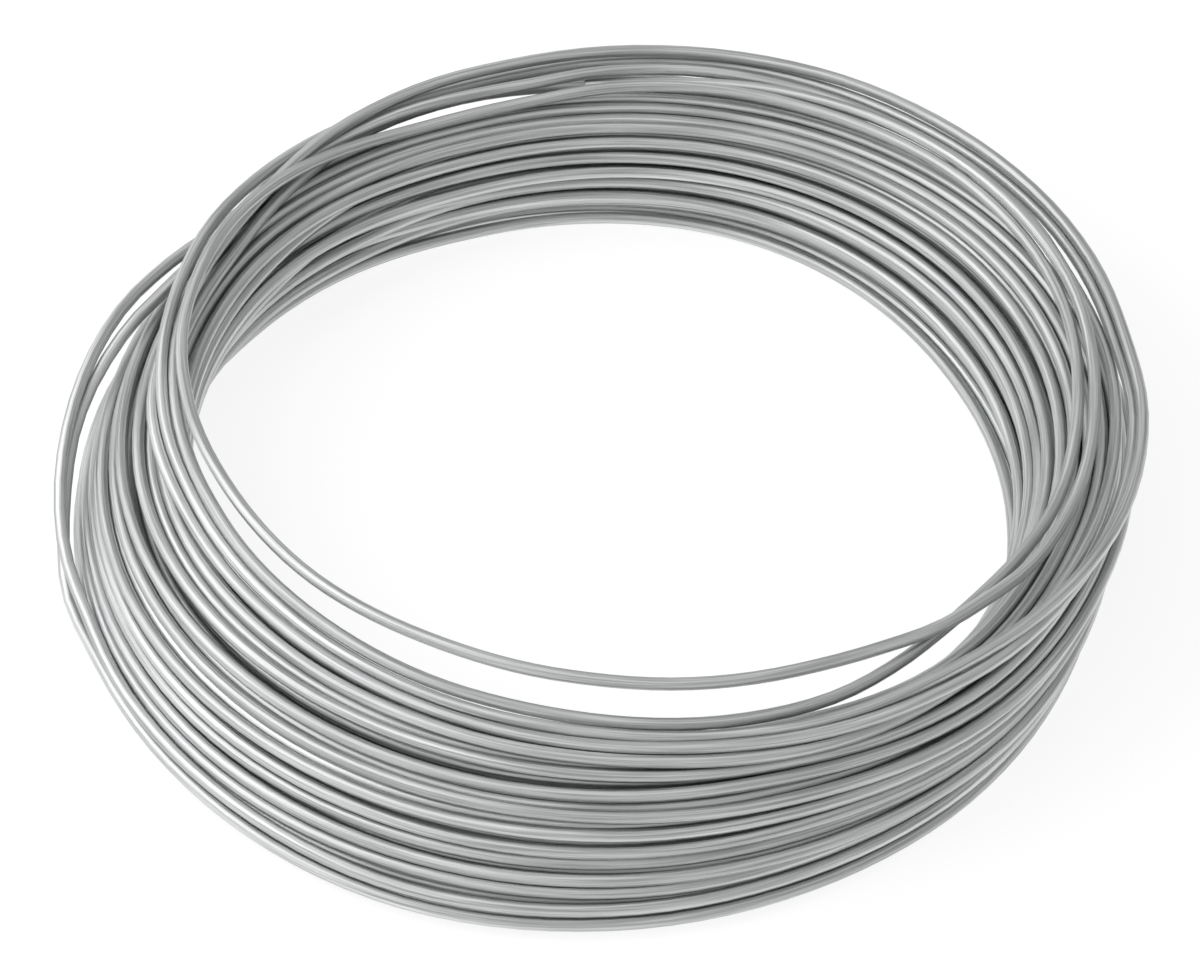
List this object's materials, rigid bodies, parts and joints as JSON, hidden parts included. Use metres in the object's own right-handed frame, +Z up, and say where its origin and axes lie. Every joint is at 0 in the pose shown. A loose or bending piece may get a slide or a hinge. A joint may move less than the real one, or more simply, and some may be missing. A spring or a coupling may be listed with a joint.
{
  "type": "coil of wire",
  "caption": "Loose coil of bright round wire lying flat: nested turns bundled round an open eye, with slipped turns on top. Raw stock to be paid off, straightened and cut.",
  "frame": {"origin": "on the floor, under the middle of the bundle", "axes": "+Z up along the coil's axis, +Y to the back and +X to the right of the picture's view"},
  "size_m": [0.2534, 0.2494, 0.0373],
  "materials": {
    "wire": "bright drawn, satin"
  },
  "bodies": {
    "root": {"wire_coil": "wire"}
  },
  "joints": []
}
